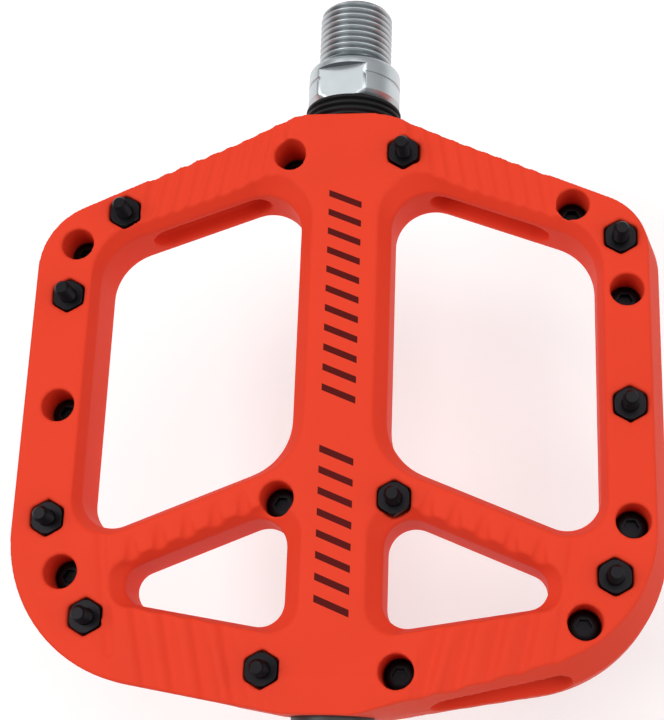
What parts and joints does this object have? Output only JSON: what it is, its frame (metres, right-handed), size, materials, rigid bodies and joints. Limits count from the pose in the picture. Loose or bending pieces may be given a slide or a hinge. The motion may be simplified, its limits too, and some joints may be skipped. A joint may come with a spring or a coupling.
{
  "type": "flat bicycle pedal",
  "caption": "Flat bicycle pedal: moulded nylon platform with windows and steel traction screws, turning on a threaded steel spindle.",
  "frame": {"origin": "on the spindle's axis, in the plane of the shoulder face that seats on the crank arm", "axes": "+Y along the spindle towards the crank, +X across the platform, +Z out of the tread that faces up"},
  "size_m": [0.1164, 0.1398, 0.0256],
  "materials": {
    "nylon": "moulded nylon, fine satin texture",
    "spindle_steel": "turned and plated",
    "black_rubber": "moulded rubber",
    "bearing_steel": "ground",
    "polished_steel": "polished",
    "spring_steel": "phosphated",
    "black_oxide_steel": "black oxide, oiled",
    "black_plastic": "satin",
    "dark_polymer": "satin",
    "white_nylon": "satin",
    "brass": "pressed"
  },
  "bodies": {
    "spindle": {"spindle": "spindle_steel", "axle_seal": "black_rubber", "bearing_a_inner_race": "bearing_steel", "bearing_b_inner_race": "bearing_steel", "spindle_washer": "bearing_steel", "spindle_nut": "bearing_steel", "nut_locking_ring": "white_nylon"},
    "platform": {"pedal_body": "nylon", "bush_shell": "bearing_steel", "bush_liner": "dark_polymer", "bearing_a_outer_race": "bearing_steel", "bearing_b_outer_race": "bearing_steel", "bearing_a_shields": "black_rubber", "bearing_b_shields": "black_rubber", "retaining_ring": "spring_steel", "end_cap": "black_plastic", "end_cap_o_ring": "black_rubber", "screws_upper": "black_oxide_steel", "screws_lower": "black_oxide_steel", "nuts_upper": "black_oxide_steel", "nuts_lower": "black_oxide_steel"},
    "cage_a": {"bearing_a_balls": "polished_steel", "bearing_a_cage": "brass"},
    "cage_b": {"bearing_b_balls": "polished_steel", "bearing_b_cage": "brass"}
  },
  "joints": [
    {"name": "platform_spin", "type": "hinge", "parent": "spindle", "child": "platform", "pos_m": [0, -0.068, 0], "axis": [0, 1, 0], "continuous": true},
    {"name": "cage_a_spin", "type": "hinge", "parent": "spindle", "child": "cage_a", "pos_m": [0, -0.1109, 0], "axis": [0, 1, 0], "continuous": true},
    {"name": "cage_b_spin", "type": "hinge", "parent": "spindle", "child": "cage_b", "pos_m": [0, -0.1159, 0], "axis": [0, 1, 0], "continuous": true}
  ],
  "couplings": [
    {"joint": "cage_a_spin", "follows": "platform_spin", "ratio": 0.6053},
    {"joint": "cage_b_spin", "follows": "platform_spin", "ratio": 0.6053}
  ]
}
